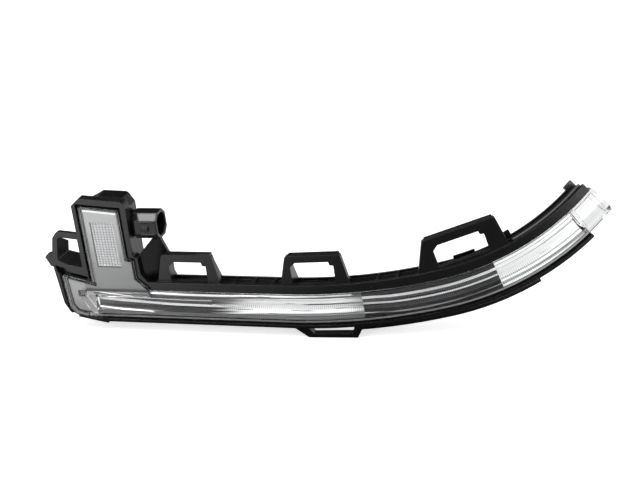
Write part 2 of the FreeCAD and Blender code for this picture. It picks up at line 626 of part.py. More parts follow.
# ELECTRONICS behind the window
board_back = S.board_front + S.board_thick
SCREWS = ((-100.4, 16.0), (-89.0, 43.6))
board_body = plate("board_blank", [
    (-102.6, 13.2), (-102.6, 45.2), (-100.4, 46.2), (-88.2, 46.2), (-86.6, 43.6), (-86.6, 13.2),
], S.board_front, board_back)
main_board = node(cut("main_board", board_body, [
    rod("board_hole_%d" % (i + 1), S.screw_radius + S.screw_gap, (x, S.board_front - 1, z), "y", 4)
    for i, (x, z) in enumerate(SCREWS)]), "main_board")
for i, z in enumerate(LED_Z):
    led = fuse("window_led_%d" % (i + 1), [
        block("led_base_%d" % (i + 1), (LED_X - LED_SIDE, LED_X + LED_SIDE),
              (S.board_front - 0.7, S.board_front), (z - LED_SIDE, z + LED_SIDE)),
        rod("led_dome_%d" % (i + 1), 1.0, (LED_X, S.board_front - 1.1, z), "y", 0.6)])
    node(led, "window_led_%d" % (i + 1))
# what the board carries on its back: limits along x and z, and the height
ON_BOARD = (
    ("driver_chip", (-98.6, -93.7), (28, 32.9), 1.2),
    ("board_capacitor", (-92.0, -88.8), (20.5, 22.9), 1.4),
    ("resistor_1", (-98.4, -96.4), (22.2, 23.4), 0.6),
    ("resistor_2", (-98.4, -96.4), (19.2, 20.4), 0.6),
)
for name, x, z, height in ON_BOARD:
    node(block(name, x, (board_back, board_back + height), z), name)
screws = []
for i, (x, z) in enumerate(SCREWS):
    screws += [
        rod("screw_head_%d" % (i + 1), S.screw_head_radius, (x, S.board_front - S.screw_head, z),
            "y", S.screw_head),
        rod("screw_shank_%d" % (i + 1), S.screw_radius, (x, S.board_front - 0.2, z), "y", 4.4)]
board_screws = node(fuse("board_screws", screws), "board_screws")

# REAR COVER: box behind the window, with the bosses for the board
COVER = [
    (-104.6, S.flange_top), (-104.6, 46.4, 1.2), (-102.4, 47.4, 1.5), (-98.6, 49.4, 1.5),
    (-87.0, 48.9, 2.2), (-84.3, 44.4), (-84.3, S.flange_top),
]
COVER_ROOM = [
    (-103.1, 12.2), (-103.1, 45.7), (-101.8, 46.4), (-98.2, 47.9), (-87.8, 47.4),
    (-85.8, 44.0), (-85.8, 12.2),
]
cover_box = cut("cover_box", plate("cover_solid", rounded(COVER), S.cover_front, S.cover_back),
                [plate("cover_room", COVER_ROOM, 3, S.cover_back - S.cover_wall)])
neck_y = (6.4, 12.4)
neck_z = (S.plug_low + 0.9, S.plug_high - 0.9)
VENT_X, VENT_Z, VENT_HOLE, VENT_DISC = -95, 18, 1.4, 3.2
cover_parts = [cover_box]
cover_tools = [
    block("connector_window", (-87, -83), (neck_y[0] - 0.1, neck_y[1] + 0.1),
          (neck_z[0] - 0.1, neck_z[1] + 0.1)),
    rod("vent_hole", VENT_HOLE, (VENT_X, 10, VENT_Z), "y", 6)]
for i, (x, z) in enumerate(SCREWS):
    cover_parts.append(rod("board_boss_%d" % (i + 1), S.boss_radius, (x, board_back, z), "y",
                           S.cover_back - 1 - board_back))
    cover_tools.append(rod("boss_bore_%d" % (i + 1), S.screw_radius, (x, board_back - 0.1, z),
                           "y", 2.8))
for i, z in enumerate((24.6, 38.0)):
    cover_parts.append(block("cover_rib_%d" % (i + 1), (-103.2, -85.7),
                             (S.cover_back - S.cover_wall - 0.8, S.cover_back - 1), (z, z + 1)))
rear_cover = node(cut("rear_cover", fuse("cover_body", cover_parts), cover_tools), "rear_cover")
vent_membrane = node(rod("vent_membrane", VENT_DISC, (VENT_X, S.cover_back, VENT_Z), "y", 0.4),
                     "vent_membrane")
cover_gasket = node(cut("cover_gasket", plate("gasket_outer", [
    (-104.5, S.flange_top + 0.1), (-104.5, 46.0), (-102.4, 47.2), (-98.4, 49.0), (-87.8, 48.6),
    (-84.5, 44.3), (-84.5, S.flange_top + 0.1)], S.frame_back, S.cover_front),
    [plate("gasket_inner", [
        (-103.2, 12.1), (-103.2, 45.6), (-101.9, 46.3), (-98.3, 47.8), (-87.9, 47.3),
        (-85.9, 43.9), (-85.9, 12.1)], 4, 7)]), "cover_gasket")

# CONNECTOR on the cover's outer side, its mouth towards +X


def octagon(by):
    """The plug's outline with clipped corners, grown on all sides."""
    front, back = S.plug_front - by, S.plug_back + by
    low, high = S.plug_low - by, S.plug_high + by
    bevel = S.plug_bevel + as_size(by) * 0.6
    return [
        (front + bevel, low), (back - bevel, low), (back, low + bevel), (back, high - bevel),
        (back - bevel, high), (front + bevel, high), (front, high - bevel), (front, low + bevel),
    ]


rail_y = (S.plug_front - 0.5, S.plug_front + 0.4)
flat_low, flat_high = S.plug_low + S.plug_bevel, S.plug_high - S.plug_bevel
shroud = fuse("shroud", [
    prism("shroud_body", outline("shroud_outline", SIDE, octagon(0)), "x", -82.9, S.plug_mouth),
    block("shroud_neck", (-86.3, -82.5), neck_y, neck_z),
    block("latch_bump", (S.plug_mouth - 7.1, S.plug_mouth - 3.8),
          (S.plug_front - 0.9, S.plug_front + 0.4), (S.pin_z - 1.1, S.pin_z + 1.1)),
    block("upper_rail", (S.plug_mouth - 8, S.plug_mouth - 1), rail_y, (flat_high - 0.7, flat_high)),
    block("lower_rail", (S.plug_mouth - 8, S.plug_mouth - 1), rail_y, (flat_low, flat_low + 0.7)),
])
PIN_Y = (S.board_front - S.pin_size, S.board_front)
pin_cuts, pins = [], []
for i in (-1, 0, 1):
    z = S.pin_z + S.pin_pitch * i
    limits = (z - S.pin_size / 2, z + S.pin_size / 2)
    pin_cuts.append(block("pin_slot_%d" % (i + 2), (-90, -80), PIN_Y, limits))
    pins.append(block("terminal_pin_%d" % (i + 2), (-88.4, S.plug_mouth - 4.5), PIN_Y, limits))
connector_socket = node(cut("connector_socket", shroud, [
    prism("socket_room", outline("socket_outline", SIDE, octagon(-S.plug_wall)), "x",
          S.plug_floor, S.plug_mouth + 1)]
    + pin_cuts), "connector_socket")
for i, pin in enumerate(pins):
    node(pin, "terminal_pin_%d" % (i + 1))


doc.recompute()
os.makedirs("parts", exist_ok=True)
for item in doc.Objects:
    if "Invalid" in item.State or "Error" in item.State:
        raise RuntimeError("%s did not compute" % item.Name)
    if hasattr(item, "Shape") and (item.Shape.isNull() or not item.Shape.isValid()):
        raise RuntimeError("%s has no valid shape" % item.Name)
for item in NODES:
    item.Shape.exportStep("parts/%s.step" % item.Label)
    box = item.Shape.BoundBox
    print("%-18s solids %d volume %.1f box %.1f..%.1f, %.1f..%.1f, %.1f..%.1f" % (
        item.Label, len(item.Shape.Solids), item.Shape.Volume,
        box.XMin, box.XMax, box.YMin, box.YMax, box.ZMin, box.ZMax))
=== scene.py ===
# %% [markdown]
# # A turn signal lamp for a door mirror
# The lamp is a long clear strip that wraps round the edge of a door mirror. Its
# sizes are already settled in the frame that is loaded below, so this lesson is
# about looks: clear plastic over bright metallised plastic, black mouldings with
# soft edges, and the light that makes them read. Most solids of the frame keep
# their shape and only get a finish. Where the real piece has finer relief than
# its solid, a new mesh takes the solid's place.

import math

import bpy
from mathutils import Matrix, Vector


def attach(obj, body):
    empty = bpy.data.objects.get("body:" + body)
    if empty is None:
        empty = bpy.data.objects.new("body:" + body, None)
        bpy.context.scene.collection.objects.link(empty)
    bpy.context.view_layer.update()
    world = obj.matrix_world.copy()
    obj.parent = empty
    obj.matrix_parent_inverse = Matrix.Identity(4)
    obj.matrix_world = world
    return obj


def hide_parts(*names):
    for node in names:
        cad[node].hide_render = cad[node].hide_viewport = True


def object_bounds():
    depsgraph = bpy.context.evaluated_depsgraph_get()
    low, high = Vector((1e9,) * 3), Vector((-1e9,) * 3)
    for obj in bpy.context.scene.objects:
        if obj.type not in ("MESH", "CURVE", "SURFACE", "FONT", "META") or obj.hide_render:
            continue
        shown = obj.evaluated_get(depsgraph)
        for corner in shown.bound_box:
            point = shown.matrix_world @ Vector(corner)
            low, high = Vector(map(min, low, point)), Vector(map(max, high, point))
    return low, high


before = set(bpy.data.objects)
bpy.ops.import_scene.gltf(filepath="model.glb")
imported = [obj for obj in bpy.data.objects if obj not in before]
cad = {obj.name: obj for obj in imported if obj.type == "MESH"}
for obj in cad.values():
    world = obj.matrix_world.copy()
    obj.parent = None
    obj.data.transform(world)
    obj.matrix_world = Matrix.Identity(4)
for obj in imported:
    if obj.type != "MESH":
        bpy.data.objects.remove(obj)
cad_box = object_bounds()
MM = 0.001
print("pieces in the frame:", len(cad))
print("box in mm:", [round(v / MM, 1) for corner in cad_box for v in corner])

# %% [markdown]
# The strip follows a path: a straight run and two arcs, all in one plane that
# leans back by 45 degrees. A curve object with a profile could carry the sections
# along it, but its tilt would need care on every arc. A function that gives place
# and turn at any length is short and exact, and each detail that follows the
# strip can use it. Sections are drawn upright, by depth and height in mm.

# %% The path of the strip
TILT = math.radians(45)
ARC_START = -16.0
ARC_1_RADIUS, ARC_1_ANGLE = 270.0, math.radians(15)
ARC_2_RADIUS = 111.0
ARC_2_START = ARC_START + ARC_1_RADIUS * ARC_1_ANGLE
PATH_END = 131.5
# the frame's origin, in mm of the drawing that the path starts from
DATUM = Vector((-59.5, 2.0, 22.0))

ALONG = Vector((1, 0, 0))
INWARD = Vector((0, math.cos(TILT), math.sin(TILT)))
LEAN = Vector((0, -math.sin(TILT), math.cos(TILT)))


def placed(x, y, z):
    """A point in mm of the drawing, as a place in the frame in metres."""
    return (Vector((x, y, z)) - DATUM) * MM


def station(length):
    """Matrix that carries (along, depth, up) in mm at this length of the path
    into the frame, in metres."""
    turn = 0.0
    across, inward = length, 0.0
    if length > ARC_START:
        turn = min((length - ARC_START) / ARC_1_RADIUS, ARC_1_ANGLE)
        across = ARC_START + ARC_1_RADIUS * math.sin(turn)
        inward = ARC_1_RADIUS * (1 - math.cos(turn))
    if length > ARC_2_START:
        first = turn
        turn = first + (length - ARC_2_START) / ARC_2_RADIUS
        across += ARC_2_RADIUS * (math.sin(turn) - math.sin(first))
        inward += ARC_2_RADIUS * (math.cos(first) - math.cos(turn))
    way = ALONG * math.cos(turn) + INWARD * math.sin(turn)
    side = INWARD * math.cos(turn) - ALONG * math.sin(turn)
    depth = side * math.cos(TILT) - LEAN * math.sin(TILT)
    up = side * math.sin(TILT) + LEAN * math.cos(TILT)
    matrix = Matrix((way, depth, up)).transposed().to_4x4()
    matrix.translation = ALONG * across + INWARD * inward - DATUM
    return Matrix.Scale(MM, 4) @ matrix


far_end = station(PATH_END).translation / MM
print("far end of the path in mm:", [round(v, 1) for v in far_end])

# %% [markdown]
# The camera stands a little to the right of the lamp and looks down on it by 24
# degrees, as in the photograph. It could be aimed with a constraint, but two
# angles, a roll and a distance are easier to fit to a picture. A long lens keeps
# the perspective weak, and the roll is what tips the straight half of the strip.

# %% Camera
IMAGE_WIDTH = 640
FOCAL_PX = 1250.0
SENSOR_MM = 36.0
AZIMUTH, ELEVATION, ROLL = math.radians(18), math.radians(24), math.radians(-6.57)
DISTANCE = 532.5 * MM
TARGET = placed(0, 0, 2.56)
TARGET_BELOW_MIDDLE_PX = 65.0

forward = Vector((-math.sin(AZIMUTH) * math.cos(ELEVATION),
                  math.cos(AZIMUTH) * math.cos(ELEVATION), -math.sin(ELEVATION)))
sideways = Vector((math.cos(AZIMUTH), math.sin(AZIMUTH), 0))
upright = sideways.cross(forward)
camera_right = sideways * math.cos(ROLL) + upright * math.sin(ROLL)
camera_up = upright * math.cos(ROLL) - sideways * math.sin(ROLL)
to_target = forward - camera_up * TARGET_BELOW_MIDDLE_PX / FOCAL_PX

camera_data = bpy.data.cameras.new("camera")
camera_data.sensor_width = SENSOR_MM
camera_data.lens = FOCAL_PX / IMAGE_WIDTH * SENSOR_MM
camera_data.clip_start, camera_data.clip_end = 0.01, 20
camera = bpy.data.objects.new("camera", camera_data)
camera_turn = Matrix((camera_right, camera_up, -forward)).transposed().to_4x4()
camera.matrix_world = Matrix.Translation(TARGET - DISTANCE * to_target) @ camera_turn
bpy.context.scene.collection.objects.link(camera)
bpy.context.scene.camera = camera
print("lens in mm:", round(camera_data.lens, 2))

# %% [markdown]
# Light for a product shot is soft and mostly even. Point lamps would be simpler,
# but gloss shows the shape of what lights it, so each lamp is a flat softbox. A
# wide one hangs above and in front, a second stands at the front left, and a weak
# one fills from the right. The small strip box is there for its mirror image:
# black plastic shows little else, and the upper bevel of the plug socket takes it.

# %% Lights
def softbox(name, place, aim, size, power, height_ratio=1.0):
    data = bpy.data.lights.new(name, "AREA")
    data.shape = "RECTANGLE"
    data.size, data.size_y = size, size * height_ratio
    data.energy = power
    box = bpy.data.objects.new(name, data)
    box.location = place
    box.rotation_mode = "QUATERNION"
    box.rotation_quaternion = (Vector(aim) - Vector(place)).to_track_quat("-Z", "Y")
    bpy.context.scene.collection.objects.link(box)
    print(name, "with", power, "W")


MIDDLE = (cad_box[0] + cad_box[1]) / 2
PLUG_SOCKET = (-0.02, 0, 0.01)
softbox("top_softbox", place=(0.05, -0.12, 0.75), aim=MIDDLE, size=0.7, power=3.0)
softbox("front_left_softbox", place=(-0.55, -0.50, 0.35), aim=MIDDLE, size=0.5, power=3.0)
softbox("right_fill", place=(0.75, -0.25, 0.25), aim=MIDDLE, size=0.5, power=2.6)
softbox("strip_box", place=(-0.19, -0.20, 0.46), aim=PLUG_SOCKET, size=0.26, power=0.6, height_ratio=0.35)

# %% [markdown]
# A finish, and the world too, is a tree of nodes. Written one by one they would
# fill pages, so a few helpers come first. Each takes numbers or the sockets of
# other nodes, adds one node and gives back its result, which reads like a formula.

# %% An empty world, and helpers for nodes
world = bpy.data.worlds.new("studio")
world.use_nodes = True
bpy.context.scene.world = world
world_tree = world.node_tree
world_tree.nodes.clear()


def feed(tree, socket, value):
    """Put a number on a socket, or link another socket to it."""
    if isinstance(value, (int, float)):
        socket.default_value = value
    else:
        tree.links.new(value, socket)


def math_node(tree, operation, *values, clamp=False):
    node = tree.nodes.new("ShaderNodeMath")
    node.operation = operation
    node.use_clamp = clamp
    for socket, value in zip(node.inputs, values):
        feed(tree, socket, value)
    return node.outputs[0]


def product(tree, *values):
    total = values[0]
    for value in values[1:]:
        total = math_node(tree, "MULTIPLY", total, value)
    return total


def ramp(tree, value, low, high, at_low=0.0, at_high=1.0):
    """Smooth step from at_low to at_high while the value goes from low to high."""
    node = tree.nodes.new("ShaderNodeMapRange")
    node.interpolation_type = "SMOOTHSTEP"
    for label, number in (("Value", value), ("From Min", low), ("From Max", high),
                          ("To Min", at_low), ("To Max", at_high)):
        feed(tree, node.inputs[label], number)
    return node.outputs["Result"]


def mixed(tree, factor, a, b):
    """a where the factor is 0, and b where it is 1."""
    node = tree.nodes.new("ShaderNodeMix")
    for label, value in (("Factor", factor), ("A", a), ("B", b)):
        feed(tree, node.inputs[label], value)
    return node.outputs["Result"]


print("world:", world.name)

# %% [markdown]
# A white background can come from a bright world, but a bright world would also
# wash the lamp out. The Light Path node separates the two: camera, glossy and
# transmission rays see the studio, and all other rays get a dimmer fill. The
# studio that is mirrored is white near the horizon and overhead, with a dark ring
# between them, like the dark room behind the softboxes. It gives gloss its depth.
# A picture of a real studio could do the same, but three zones are enough here.

# %% What each kind of ray sees of the world
def rays(tree, *kinds):
    """1 for the kinds of ray named, 0 for the rest."""
    path = tree.nodes.new("ShaderNodeLightPath")
    total = path.outputs[kinds[0]]
    for kind in kinds[1:]:
        total = math_node(tree, "MAXIMUM", total, path.outputs[kind])
    return total


def split_xyz(tree, vector):
    node = tree.nodes.new("ShaderNodeSeparateXYZ")
    tree.links.new(vector, node.inputs[0])
    return node.outputs


def place_in(tree, label):
    """x, y and z of a texture coordinate."""
    return split_xyz(tree, tree.nodes.new("ShaderNodeTexCoord").outputs[label])


FILL = 0.35
RING_LEVEL, OVERHEAD_LEVEL, WALL_LEVEL = 0.03, 0.9, 0.55
background = world_tree.nodes.new("ShaderNodeBackground")
world_out = world_tree.nodes.new("ShaderNodeOutputWorld")
# the direction of the ray: its z is 0 at the horizon and 1 straight up
way = place_in(world_tree, "Generated")
below_ring = ramp(world_tree, way["Z"], 0.10, 0.22, 1.0, RING_LEVEL)
above_ring = ramp(world_tree, way["Z"], 0.62, 0.80, 0.0, OVERHEAD_LEVEL)
# a pale wall stands behind at the right, where faces that look right mirror it
wall = product(world_tree, ramp(world_tree, way["X"], 0.15, 0.40),
               ramp(world_tree, way["Y"], 0.3, 0.6, 0.0, WALL_LEVEL))
mirrored = math_node(world_tree, "MAXIMUM", math_node(world_tree, "ADD", below_ring, above_ring), wall)
shown = mixed(world_tree, rays(world_tree, "Is Camera Ray", "Is Transmission Ray"), mirrored, 1.0)
seen = rays(world_tree, "Is Camera Ray", "Is Glossy Ray", "Is Transmission Ray")
world_tree.links.new(mixed(world_tree, seen, FILL, shown), background.inputs["Strength"])
world_tree.links.new(background.outputs[0], world_out.inputs["Surface"])
print("nodes in the world:", len(world_tree.nodes))

# %% [markdown]
# The lamp lies over a sheet of white paper. A plane as small as the picture would
# do for the camera, but its end would show in gloss, so it is six metres wide.

# %% Floor
FLOOR_HALF = 3.0
FLOOR_GAP = 0.05 * MM
floor_level = cad_box[0].z - FLOOR_GAP
corners = [(x * FLOOR_HALF, y * FLOOR_HALF, floor_level) for x, y in ((-1, -1), (1, -1), (1, 1), (-1, 1))]
floor_mesh = bpy.data.meshes.new("floor")
floor_mesh.from_pydata(corners, [], [(0, 1, 2, 3)])
floor = bpy.data.objects.new("floor", floor_mesh)
bpy.context.scene.collection.objects.link(floor)
print("floor at", round(floor_level / MM, 2), "mm")

# %% [markdown]
# The camera sees the paper white. In the mirror image on black plastic it falls off
# from the left to the right, as under a lamp that stands at the left. Close under
# the strip it lies in shade, and behind the strip it is bright only at the right.
# Real lamps could give one of these, but not all at once. The Light Path node
# chooses between white paper and a sheet that only glossy rays see.

# %% Floor paper
PAPER_NEAR, PAPER_FAR, PAPER_THROUGH_LENS = 0.62, 1.0, 0.1
LEFT_AHEAD, RIGHT_AHEAD, UNDER_LAMP = 1.3, 0.1, 0.12
LEFT_BEHIND, RIGHT_BEHIND = 0.08, 0.95
floor_paper = bpy.data.materials.new("floor_paper")
floor_paper.use_nodes = True
tree = floor_paper.node_tree
tree.nodes.clear()
floor_out = tree.nodes.new("ShaderNodeOutputMaterial")
paper = tree.nodes.new("ShaderNodeBsdfPrincipled")
paper.inputs["Base Color"].default_value = (0.86, 0.86, 0.86, 1)
paper.inputs["Roughness"].default_value = 0.9
paper.inputs["Specular IOR Level"].default_value = 0.1
paper.inputs["Emission Color"].default_value = (1, 1, 1, 1)
on_floor = place_in(tree, "Object")
away = math_node(tree, "ABSOLUTE", on_floor["Y"])
to_camera = product(tree, rays(tree, "Is Camera Ray"), ramp(tree, away, 0.2, 1.2, PAPER_NEAR, PAPER_FAR))
to_lens = product(tree, rays(tree, "Is Transmission Ray"), PAPER_THROUGH_LENS)
tree.links.new(math_node(tree, "ADD", to_camera, to_lens), paper.inputs["Emission Strength"])
ahead = product(tree, ramp(tree, on_floor["X"], -0.13, 0.08, LEFT_AHEAD, RIGHT_AHEAD),
                ramp(tree, on_floor["Y"], -0.045, -0.012, 1.0, UNDER_LAMP))
behind = ramp(tree, on_floor["X"], -0.025, 0.015, LEFT_BEHIND, RIGHT_BEHIND)
mirror_paper = tree.nodes.new("ShaderNodeEmission")
mirror_level = mixed(tree, ramp(tree, on_floor["Y"], 0.0, 0.02), ahead, behind)
tree.links.new(mirror_level, mirror_paper.inputs["Strength"])
choice = tree.nodes.new("ShaderNodeMixShader")
tree.links.new(rays(tree, "Is Glossy Ray"), choice.inputs["Fac"])
tree.links.new(paper.outputs[0], choice.inputs[1])
tree.links.new(mirror_paper.outputs[0], choice.inputs[2])
tree.links.new(choice.outputs[0], floor_out.inputs["Surface"])
floor_mesh.materials.append(floor_paper)
print("nodes in the paper:", len(tree.nodes))

# %% [markdown]
# Moulded plastic is never one flat colour: the mould leaves a fine grain. It could
# be painted as a picture, but noise has no seams and keeps its size in mm on every
# piece. Several finishes use the grain, so it is a node group, built once and
# placed in each material with its own values.

# %% Grain as a node group
def new_group(name, inputs, outputs):
    group = bpy.data.node_groups.new(name, "ShaderNodeTree")
    for label, value in inputs:
        socket = group.interface.new_socket(label, in_out="INPUT", socket_type="NodeSocketFloat")
        socket.default_value = value
    for label, kind in outputs:
        group.interface.new_socket(label, in_out="OUTPUT", socket_type=kind)
    return group, group.nodes.new("NodeGroupInput"), group.nodes.new("NodeGroupOutput")


def noise(tree, scale, detail, vector):
    node = tree.nodes.new("ShaderNodeTexNoise")
    for label, value in (("Scale", scale), ("Detail", detail), ("Vector", vector)):
        feed(tree, node.inputs[label], value)
    return node.outputs["Fac"]


PATCH_SCALE = 60.0
grain_group, grain_in, grain_out = new_group(
    "mould_grain",
    [("Scale", 4000.0), ("Roughness", 0.4), ("Spread", 0.1)],
    [("Height", "NodeSocketFloat"), ("Roughness", "NodeSocketFloat")])
on_piece = grain_group.nodes.new("ShaderNodeTexCoord").outputs["Object"]
patch = noise(grain_group, PATCH_SCALE, 3.0, on_piece)
swing = product(grain_group, math_node(grain_group, "SUBTRACT", patch, 0.5), grain_in.outputs["Spread"])
patchy = math_node(grain_group, "ADD", grain_in.outputs["Roughness"], swing)
fine = noise(grain_group, grain_in.outputs["Scale"], 2.0, on_piece)
grain_group.links.new(fine, grain_out.inputs["Height"])
grain_group.links.new(patchy, grain_out.inputs["Roughness"])
print(grain_group.name, "puts out", [socket.name for socket in grain_out.inputs if socket.name])

# %% [markdown]
# The corners of a moulding are slightly round, so each edge catches a thin line of
# light. A bevel modifier would cut into meshes that have to stay as they are. The
# Bevel node only turns the normals near an edge. The group also says how far they
# are turned, as a mask that the finishes use to make edges paler or greyer.

# %% Round edges as a node group
edge_group, edge_in, edge_out = new_group(
    "edge_mask", [("Radius", 0.3 * MM), ("Strength", 2.0)],
    [("Mask", "NodeSocketFloat"), ("Normal", "NodeSocketVector")])
round_edge = edge_group.nodes.new("ShaderNodeBevel")
round_edge.samples = 6
true_face = edge_group.nodes.new("ShaderNodeNewGeometry")
agree = edge_group.nodes.new("ShaderNodeVectorMath")
agree.operation = "DOT_PRODUCT"
edge_group.links.new(edge_in.outputs["Radius"], round_edge.inputs["Radius"])
edge_group.links.new(round_edge.outputs["Normal"], agree.inputs[0])
edge_group.links.new(true_face.outputs["Normal"], agree.inputs[1])
turned = math_node(edge_group, "SUBTRACT", 1.0, agree.outputs["Value"])
mask = math_node(edge_group, "MULTIPLY", turned, edge_in.outputs["Strength"], clamp=True)
edge_group.links.new(mask, edge_out.inputs["Mask"])
edge_group.links.new(round_edge.outputs["Normal"], edge_out.inputs["Normal"])
print(edge_group.name, "puts out", [socket.name for socket in edge_out.inputs if socket.name])

# %% [markdown]
# A finish is a material with one Principled shader and the groups above. Numbers
# that are the same all over the surface go straight on the shader, and only what
# changes over the surface is linked. That keeps it easy to read and to bake.

# %% Helpers for finishes
def finish(name, colour, **values):
    """Material with one Principled shader; the values go on the shader's own sockets."""
    material = bpy.data.materials.new(name)
    material.use_nodes = True
    tree = material.node_tree
    tree.nodes.clear()
    out = tree.nodes.new("ShaderNodeOutputMaterial")
    shader = tree.nodes.new("ShaderNodeBsdfPrincipled")
    shader.inputs["Base Color"].default_value = (*colour, 1)
    for label, value in values.items():
        shader.inputs[label.replace("_", " ")].default_value = value
    tree.links.new(shader.outputs[0], out.inputs["Surface"])
    return material, tree, shader


def use_group(tree, group, **values):
    node = tree.nodes.new("ShaderNodeGroup")
    node.node_tree = group
    for label, value in values.items():
        node.inputs[label].default_value = value
    return node


def blend_colour(tree, mask, low, high, clamp=True):
    node = tree.nodes.new("ShaderNodeMix")
    node.data_type = "RGBA"
    node.clamp_factor = clamp
    node.inputs["A"].default_value = (*low, 1)
    node.inputs["B"].default_value = (*high, 1)
    tree.links.new(mask, node.inputs["Factor"])
    return node.outputs["Result"]


def wear(material, *names):
    """Give a finish to solids of the frame."""
    for name in names:
        for slot in cad[name].material_slots:
            slot.material = material
    print(material.name, "on", ", ".join(names))


print("slots to dress:", sum(len(solid.material_slots) for solid in cad.values()))

# %% [markdown]
# The carrier is black plastic with a fine spark-eroded grain. The rear cover and
# the clip loops belong to the same family, and the plug socket is polished. One
# function makes them all, because they differ only in numbers: how rough, how
# fine and deep the grain, and how round the edges.

# %% Black mouldings
def moulded(name, colour, edge_colour, roughness, grain_scale, grain_depth,
            edge_radius=0.3, spread=0.1, **values):
    """Opaque moulding: grain in the surface, a little patchiness, paler round edges.
    The grain's depth and the radius of the edges are in mm."""
    material, tree, shader = finish(name, colour, **values)
    grain = use_group(tree, grain_group, Scale=grain_scale, Roughness=roughness, Spread=spread)
    edges = use_group(tree, edge_group, Radius=edge_radius * MM)
    bump = tree.nodes.new("ShaderNodeBump")
    bump.inputs["Strength"].default_value = 1.0
    bump.inputs["Distance"].default_value = grain_depth * MM
    tree.links.new(grain.outputs["Height"], bump.inputs["Height"])
    tree.links.new(edges.outputs["Normal"], bump.inputs["Normal"])
    tree.links.new(bump.outputs["Normal"], shader.inputs["Normal"])
    tree.links.new(grain.outputs["Roughness"], shader.inputs["Roughness"])
    paler = blend_colour(tree, edges.outputs["Mask"], colour, edge_colour)
    tree.links.new(paler, shader.inputs["Base Color"])
    return material


carrier_black = moulded("carrier_black", (0.0038, 0.0038, 0.0042), (0.015, 0.015, 0.016), roughness=0.27,
                        grain_scale=5200.0, grain_depth=0.02, Specular_IOR_Level=0.6)
wear(carrier_black, "housing")
cover_black = moulded("cover_black", (0.003, 0.003, 0.0034), (0.012, 0.012, 0.012), roughness=0.22,
                      grain_scale=4200.0, grain_depth=0.01)
wear(cover_black, "rear_cover")
socket_black = moulded("socket_black", (0.006, 0.006, 0.0065), (0.02, 0.02, 0.02), roughness=0.12,
                       grain_scale=2500.0, grain_depth=0.003, edge_radius=1.1, spread=0.04)
wear(socket_black, "connector_socket")
# the holder's black, also used for the painted shade of the tray's groove
holder_black_and_groove_shade = moulded("holder_black_and_groove_shade", (0.008, 0.008, 0.0085), (0.02, 0.02, 0.02), roughness=0.3,
                       grain_scale=4200.0, grain_depth=0.01)
wear(holder_black_and_groove_shade, "guide_holder")

# %% [markdown]
# The lens and the light guide are clear. Clear plastic has no colour of its own:
# what shows is what lies behind it, bent by the crown of the lens, and the mirror
# images on its face. Its corners look greyer, because light leaves them sideways.
# Full glass would cast black shadows without caustics, so shadow rays meet a
# transparent shader instead and let the lamps reach the metal behind.

# %% Clear plastic
ACRYLIC_IOR = 1.49


def clear(name, colour, edge_colour, roughness, edge_radius):
    """Clear plastic; the radius of the greyer edges is in mm."""
    material, tree, shader = finish(name, colour, Roughness=roughness, IOR=ACRYLIC_IOR,
                                    Transmission_Weight=1.0)
    surface = shader.outputs[0].links[0].to_socket
    edges = use_group(tree, edge_group, Radius=edge_radius * MM)
    tree.links.new(edges.outputs["Normal"], shader.inputs["Normal"])
    greyer = blend_colour(tree, edges.outputs["Mask"], colour, edge_colour)
    tree.links.new(greyer, shader.inputs["Base Color"])
    open_air = tree.nodes.new("ShaderNodeBsdfTransparent")
    choice = tree.nodes.new("ShaderNodeMixShader")
    tree.links.new(rays(tree, "Is Shadow Ray"), choice.inputs["Fac"])
    tree.links.new(shader.outputs[0], choice.inputs[1])
    tree.links.new(open_air.outputs[0], choice.inputs[2])
    tree.links.new(choice.outputs[0], surface)
    return material


lens_clear = clear("lens_clear", (0.985, 0.99, 0.99), (0.2, 0.2, 0.205), roughness=0.015, edge_radius=0.4)
wear(lens_clear, "outer_lens")
guide_clear = clear("guide_clear", (0.97, 0.98, 0.985), (0.8, 0.8, 0.8), roughness=0.03, edge_radius=0.1)
wear(guide_clear, "light_guide")

# %% [markdown]
# Behind the lens lies a channel of bright metallised plastic, with small steps
# that follow the strip. A subdivided sheet could be bent along the path, but
# carrying one closed section to many stations keeps each step crisp and the mesh
# closed. Each point remembers its length along the path and its height, so that
# the finish can later draw lines which run along the lamp.

# %% The section of the trim, carried along the path
def steps(start, end, pitch):
    """Evenly spaced values from start to end, about one pitch apart."""
    count = max(1, round((end - start) / pitch))
    return [start + (end - start) * i / count for i in range(count + 1)]


def swept_piece(profile, lengths):
    """Points, marks and faces of a closed profile, (depth, up) in mm, at these lengths."""
    points, marks, faces = [], [], []
    count = len(profile)
    for length in lengths:
        matrix = station(length)
        for depth, height in profile:
            points.append(matrix @ Vector((0, depth, height)))
            marks.append((length, height))
    for i in range(len(lengths) - 1):
        for j in range(count):
            k = (j + 1) % count
            faces.append((i * count + j, i * count + k, (i + 1) * count + k, (i + 1) * count + j))
    faces.append(tuple(range(count - 1, -1, -1)))
    last = (len(lengths) - 1) * count
    faces.append(tuple(range(last, last + count)))
    return points, marks, faces


TRIM_PROFILE = [
    (2.6, 5.45), (3.0, 5.0), (3.3, 4.4), (3.0, 3.9), (3.6, 3.4), (3.5, 2.6), (4.0, 1.7), (4.7, 1.2),
    (4.8, -0.8), (4.7, -2.8), (4.0, -3.2), (3.6, -3.8), (3.8, -4.1), (3.3, -4.6), (3.3, -5.0),
    (2.2, -5.5), (5.2, -5.55), (9.3, -4.1), (9.3, 2.5), (6.4, 4.3), (4.6, 5.5),
]
TRIM_START, TRIM_END, TRIM_PITCH = -109.2, 117.0, 1.0
channel = swept_piece(TRIM_PROFILE, steps(TRIM_START, TRIM_END, TRIM_PITCH))
print("channel:", len(channel[0]), "points")

# %% [markdown]
# At its inner end a flat plate closes the channel along a slant. It is part of the
# same moulding, so plate and channel are joined into one mesh and share a finish.
# Flat pieces like it are outlines with two depths: less to go wrong than a solid
# that is cut, and the outline can be read off the front view.

